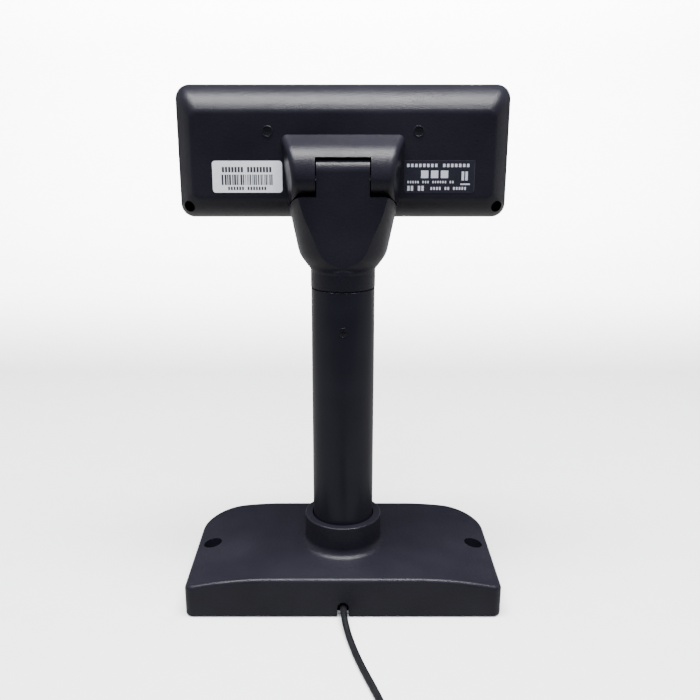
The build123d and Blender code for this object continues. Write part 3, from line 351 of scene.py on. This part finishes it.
def add_slab(bm, start, end):
    """Closed box between two corners; returns its vertices."""
    made = bmesh.ops.create_cube(bm, size=1.0)["verts"]
    size = Vector(end) - Vector(start)
    middle = (Vector(start) + Vector(end)) / 2
    bmesh.ops.transform(bm, matrix=Matrix.Translation(middle) @ Matrix.Diagonal((*size, 1.0)), verts=made)
    return made


# ---- free cord ----
CORD = 4.2 * MM
TURN_PITCH = 4.25 * MM
COLUMNS = 3
LAYERS = 4
TURNS = 11.25
POINTS_A_TURN = 24
MEAN_RADIUS = 22.6 * MM
FIRST_LAYER = 2.9 * MM
COIL_CENTRE = Vector((-1.15 * MM, 186.0 * MM, 0.0))
MOVE = 0.12  # share of a turn that the cord takes to reach its next place
ROUTE = [
    (0.0, 0.0485, 0.0062),
    (-0.0005, 0.0600, 0.0056),
    (-0.0032, 0.0740, 0.0021),
    (-0.0090, 0.0980, 0.0021),
    (-0.0190, 0.1270, 0.0021),
    (-0.0280, 0.1570, 0.0021),
]
TAIL = [
    (0.0130, 0.2133, 0.0140),
    (0.0275, 0.2144, 0.0060),
    (0.0410, 0.2156, 0.0042),
]


def coil_place(index):
    """Distance from the coil's axis and height of one of its places, which run to and fro by layer."""
    layer, column = divmod(index, COLUMNS)
    if layer % 2 == 1:
        column = COLUMNS - 1 - column
    outside = MEAN_RADIUS + TURN_PITCH * (COLUMNS - 1) / 2
    return outside - TURN_PITCH * column, FIRST_LAYER + TURN_PITCH * layer


def coil_points():
    """The wound turns, clockwise from the side nearest the base, one place after another."""
    places = COLUMNS * LAYERS
    stay = TURNS / places
    spread = 1.0 / math.cos(math.pi / POINTS_A_TURN)  # the spline runs inside its points by this much
    points = []
    for step in range(round(TURNS * POINTS_A_TURN) + 1):
        turn = step / POINTS_A_TURN
        index = min(round(turn / stay), places - 1) if turn > stay / 2 else 0
        share = min(max((turn - index * stay) / MOVE + 0.5, 0.0), 1.0)
        ease = share * share * (3.0 - 2.0 * share)
        before = coil_place(max(index - 1, 0))
        after = coil_place(index)
        radius = (before[0] + (after[0] - before[0]) * ease) * spread
        height = before[1] + (after[1] - before[1]) * ease
        angle = math.pi - 2.0 * math.pi * turn
        points.append(COIL_CENTRE + Vector((radius * math.cos(angle), radius * math.sin(angle), height)))
    return points


def make_cord():
    """The lead in one spline: out of the base, along the table, round the coil and to its plug."""
    points = [Vector(p) for p in ROUTE] + coil_points() + [Vector(p) for p in TAIL]
    curve = bpy.data.curves.new("lead", "CURVE")
    curve.dimensions = "3D"
    spline = curve.splines.new("NURBS")
    spline.points.add(len(points) - 1)
    for target, source in zip(spline.points, points):
        target.co = (*source, 1.0)
    spline.order_u = 3
    spline.use_endpoint_u = True
    spline.resolution_u = 4
    curve.bevel_depth = CORD / 2
    curve.bevel_resolution = 5
    curve.use_fill_caps = True
    lead = bpy.data.objects.new("lead", curve)
    bpy.context.scene.collection.objects.link(lead)
    curve.materials.append(MATERIALS["cable_jacket"])
    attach(lead, "base")
    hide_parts("power_cord", "cord_coil", "cord_tail")


make_cord()


# ---- printed labels ----
INK = 0.02 * MM  # the ink's height, and how far it reaches into the film

# Places on a label are shares of its width and height, seen from behind.
# Width of the painted highlight along the dark label's top and right edge.
LIT_EDGE_WIDTH = 0.006
STRIPES = (0.13, 0.86, 0.24, 0.57, 25)  # left, right, bottom, top, number of bars

# Each line of blocks: left, right, bottom, top, blocks in each group, gap as a share of a block.
BARCODE_LINES = [
    (0.14, 0.86, 0.64, 0.81, (7, 8), 0.45),
    (0.22, 0.78, 0.08, 0.19, (6, 7), 0.60),
]
RATING_LINES = [
    (0.04, 0.94, 0.795, 0.895, (8, 7), 0.60),
    (0.24, 0.66, 0.46, 0.69, (3,), 0.35),
    (0.05, 0.72, 0.305, 0.375, (5, 3, 6, 2), 0.80),
    (0.05, 0.30, 0.075, 0.225, (2, 2), 0.50),
    (0.38, 0.90, 0.10, 0.19, (4, 2, 5), 0.70),
    (0.80, 0.935, 0.25, 0.295, (1,), 0.0),
    (0.815, 0.92, 0.39, 0.66, (2,), 0.50),
]


def printed(label, areas):
    """Mesh maker for ink on a label's rear face; each area is its left, right, bottom and top."""
    low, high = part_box(label)
    wide = high.x - low.x
    tall = high.z - low.z

    def maker(bm):
        for left, right, bottom, top in areas:
            add_slab(bm, (high.x - wide * right, high.y - INK, low.z + tall * bottom),
                     (high.x - wide * left, high.y + INK, low.z + tall * top))
    return maker


def blocks(left, right, bottom, top, counts, space):
    """The areas of a line of plain blocks, one group for each of counts."""
    places = sum(counts) + len(counts) - 1
    pitch = (right - left) / places
    areas = []
    at = left
    for count in counts:
        for _ in range(count):
            areas.append((at, at + pitch / (1.0 + space), bottom, top))
            at += pitch
        at += pitch
    return areas


def stripes(left, right, bottom, top, count):
    """Upright bars of uneven width, as on any stock label, from a fixed draw."""
    draw = random.Random(11)
    steps = [draw.choice((1, 2, 2, 3) if index % 2 == 0 else (1, 1, 2)) for index in range(2 * count - 1)]
    unit = (right - left) / sum(steps)
    areas = []
    at = left
    for index, step in enumerate(steps):
        if index % 2 == 0:
            areas.append((at, at + unit * step, bottom, top))
        at += unit * step
    return areas


def print_label(name, label, areas, slot, colour):
    """One piece of ink on a label."""
    piece(name, printed(label, areas), "head", slot, colour)


def make_labels():
    """Bars and blocks on the white label; blocks on the dark one, and a painted highlight in lighter ink
    along its top and right edge.
    """
    dark = ink("dark_ink", (0.018, 0.018, 0.022), (0.040, 0.040, 0.046))
    pale = ink("pale_ink", (0.46, 0.46, 0.50), (0.60, 0.60, 0.64))
    faint = ink("edge_highlight_ink", (0.030, 0.030, 0.036), (0.045, 0.045, 0.052))
    print_label("barcode_stripes", "barcode_label", stripes(*STRIPES), "label_white", dark)
    lines = [area for line in BARCODE_LINES for area in blocks(*line)]
    print_label("barcode_lines", "barcode_label", lines, "label_white", dark)
    lines = [area for line in RATING_LINES for area in blocks(*line)]
    print_label("rating_lines", "rating_label", lines, "label_dark", pale)
    # Lighter ink along the dark label's top and right edge is a painted highlight, where the film's edge
    # would catch the light.
    lit_edge_areas = [(0.0, 1.0, 1.0 - 2 * LIT_EDGE_WIDTH, 1.0), (1.0 - LIT_EDGE_WIDTH, 1.0, 0.06, 0.98)]
    print_label("rating_edge_highlight", "rating_label", lit_edge_areas, "label_dark", faint)


make_labels()


# ---- screw rims ----
def turned(bm, centre, profile, steps=40):
    """Ring round a front-to-back axis through centre, from (radius, height) pairs; height is rearwards."""
    turn = Vector((0.0, 0.0, 1.0)).rotation_difference(Vector((0.0, 1.0, 0.0))).to_matrix()
    rings = []
    for step in range(steps):
        angle = 2.0 * math.pi * step / steps
        spots = [Vector((r * math.cos(angle), r * math.sin(angle), h)) for r, h in profile]
        rings.append([bm.verts.new(Vector(centre) + turn @ spot) for spot in spots])
    for here, there in zip(rings, rings[1:] + rings[:1]):
        for k in range(len(profile)):
            n = (k + 1) % len(profile)
            bm.faces.new((here[k], there[k], there[n], here[n])).smooth = True


def rim_profile(radius, width, rise):
    """A low rounded bead that stands on a hole's edge."""
    arc = 8
    spots = []
    for step in range(arc + 1):
        angle = math.pi * step / arc
        spots.append((radius + width / 2 - width / 2 * math.cos(angle), rise * math.sin(angle)))
    return spots + [(radius + width, -rise), (radius, -rise)]


def screw_rims(bm):
    """Raised lips round the two upper screws of the rear cover."""
    low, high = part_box("upper_cover_screws")
    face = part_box("barcode_label")[0].y
    head = (high.z - low.z) / 2
    profile = rim_profile(head + 0.15 * MM, 0.6 * MM, 0.35 * MM)
    for x in (low.x + head, high.x - head):
        turned(bm, (x, face, low.z + head), profile)


def pole_screw_rim(bm):
    """Thin lip round the screw in the pole, on the rear of its tube."""
    low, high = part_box("pole_screw")
    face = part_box("pole_tube")[1].y - 0.07 * MM
    head = (high.z - low.z) / 2
    turned(bm, (0.0, face, low.z + head), rim_profile(head + 0.07 * MM, 0.45 * MM, 0.2 * MM))


piece("screw_rims", screw_rims, "head", "textured_abs")
piece("pole_screw_rim", pole_screw_rim, "base", "pole_paint")


# ---- display cells ----
CELL_COLUMNS = 20
CELL_ROWS = 2
CELL_PITCH = (7.3 * MM, 14.5 * MM)  # across and up, as is the size
CELL_SIZE = (6.2 * MM, 11.6 * MM)


def display_cells(bm):
    """Rows of unlit character cells, centred on the front of the glass."""
    low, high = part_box("lcd_glass")
    middle = (low + high) / 2
    wide, tall = CELL_SIZE
    for row in range(CELL_ROWS):
        z = middle.z + (row - (CELL_ROWS - 1) / 2) * CELL_PITCH[1]
        for column in range(CELL_COLUMNS):
            x = middle.x + (column - (CELL_COLUMNS - 1) / 2) * CELL_PITCH[0]
            add_slab(bm, (x - wide / 2, low.y - INK, z - tall / 2), (x + wide / 2, low.y + INK, z + tall / 2))


piece("display_cells", display_cells, "head", "lcd_cell", display_cell("unlit_cells"))


# ---- plug details ----
# Places on the plug are measured along it from the cord's end, and across and up from its middle.
PLUG_FOOT = Vector(TAIL[-1])
PLUG_TURN = Matrix.Rotation(math.radians(5.0), 4, "Z")
RIBS = 6
RIB_START = 18.0 * MM
RIB_PITCH = 2.4 * MM
RIB_THICKNESS = 1.1 * MM
RIB_HALF = 5.0 * MM
RIB_FOOT = 3.9 * MM
RIB_TOP = 4.55 * MM
CONTACT_PLACES = (-3.5 * MM, -1.1 * MM, 1.1 * MM, 3.5 * MM)
CONTACT_ENDS = (42.0 * MM, 55.0 * MM)
CONTACT_HALF = 0.5 * MM
CONTACT_FOOT = -0.45 * MM
CONTACT_TOP = -0.30 * MM


def plug_slab(bm, start, end):
    """Closed box between two corners given along the plug."""
    made = add_slab(bm, start, end)
    bmesh.ops.transform(bm, matrix=Matrix.Translation(PLUG_FOOT) @ PLUG_TURN, verts=made)


def grip_ribs(bm):
    """Short ribs across the top of the plug's moulding."""
    for index in range(RIBS):
        x = RIB_START + RIB_PITCH * index
        plug_slab(bm, (x, -RIB_HALF, RIB_FOOT), (x + RIB_THICKNESS, RIB_HALF, RIB_TOP))


def contacts(bm):
    """Four flat contacts on the plug's tongue."""
    back, tip = CONTACT_ENDS
    for y in CONTACT_PLACES:
        plug_slab(bm, (back, y - CONTACT_HALF, CONTACT_FOOT), (tip, y + CONTACT_HALF, CONTACT_TOP))


piece("plug_ribs", grip_ribs, "base", "plug_pvc")
piece("plug_contacts", contacts, "base", "plug_metal")


# ---- stage and light ----
def paper_sheet(name, profile, low, high):
    """Wide sheet of paper with this outline from the side, in one slightly uneven tone."""
    half_width = 3.0

    def maker(bm):
        rows = [[bm.verts.new((x, y, z)) for y, z in profile] for x in (-half_width, half_width)]
        for a, b, c, d in zip(rows[0], rows[0][1:], rows[1][1:], rows[1]):
            bm.faces.new((a, b, c, d)).smooth = True

    s = Shader(name, Specular_IOR_Level=0.1)
    fibre = s.noise(20 * MM, 3.0)
    sheet = mesh_object(name, maker, s.finish(s.colours(fibre, low, high), s.span(fibre, 0.8, 0.9)))
    return sheet


def make_stage():
    """White paper for the camera, and a grey sheet just under it that the object reflects."""
    front, back, top, bend, steps = 1.6, -1.6, 0.75, 0.45, 12
    profile = [(front, 0.0)]
    for step in range(steps + 1):
        angle = math.radians(90.0 * step / steps)
        profile.append((back + bend - bend * math.sin(angle), bend - bend * math.cos(angle)))
    paper = paper_sheet("backdrop", profile + [(back, top)], (0.93,) * 3, (0.95,) * 3)
    paper.visible_glossy = False
    paper.visible_transmission = False
    paper.visible_diffuse = False
    paper.visible_shadow = False
    under = -2 * MM
    grey = paper_sheet("reflected_sheet", [(0.40, under), (-1.15, under)], (0.15,) * 3, (0.17,) * 3)
    grey.visible_camera = False


def softbox(name, place, aim, size, watts, mirrored=True, colour=(1.0, 1.0, 1.0)):
    """Rectangular light at place, turned to aim; one that isn't mirrored leaves no highlight."""
    data = bpy.data.lights.new(name, "AREA")
    data.shape = "RECTANGLE"
    data.size, data.size_y = size
    data.energy = watts
    data.color = colour
    light = bpy.data.objects.new(name, data)
    light.location = place
    light.rotation_euler = (Vector(aim) - Vector(place)).to_track_quat("-Z", "Y").to_euler()
    light.visible_glossy = mirrored
    light.visible_transmission = mirrored
    bpy.context.scene.collection.objects.link(light)


def make_world():
    """Dim cool sky round the object, bright where the camera sees it past the paper."""
    world = bpy.data.worlds.new("studio")
    world.use_nodes = True
    tree = world.node_tree
    sky = tree.nodes["Background"]
    sky.inputs["Color"].default_value = (0.90, 0.92, 1.0, 1.0)
    path = tree.nodes.new("ShaderNodeLightPath")
    strength = tree.nodes.new("ShaderNodeMath")
    strength.operation = "MULTIPLY_ADD"
    strength.inputs[1].default_value = 2.4
    strength.inputs[2].default_value = 0.10
    tree.links.new(path.outputs["Is Camera Ray"], strength.inputs[0])
    tree.links.new(strength.outputs["Value"], sky.inputs["Strength"])
    bpy.context.scene.world = world


def make_lights():
    """Soft studio light: from overhead, both sides and behind the camera, and on the paper."""
    softbox("overhead", (0.0, 0.10, 1.3), (0.0, 0.07, 0.0), (1.1, 0.26), 38.0)
    softbox("left", (1.0, -0.25, 0.35), (0.0, 0.0, 0.2), (1.1, 0.9), 0.9)
    softbox("right", (-1.0, -0.25, 0.35), (0.0, 0.0, 0.2), (1.1, 0.9), 0.9)
    softbox("key", (0.0, 1.0, 1.1), (0.0, 0.0, 0.28), (0.8, 0.5), 13.0, mirrored=False,
            colour=(0.78, 0.80, 1.0))
    softbox("backdrop_wash", (0.0, -0.75, 1.0), (0.0, -1.75, 0.7), (2.6, 0.4), 240.0, mirrored=False)
    softbox("floor_wash", (0.0, 0.4, 2.0), (0.0, 0.1, 0.0), (2.4, 1.6), 110.0, mirrored=False)


make_stage()
make_world()
make_lights()
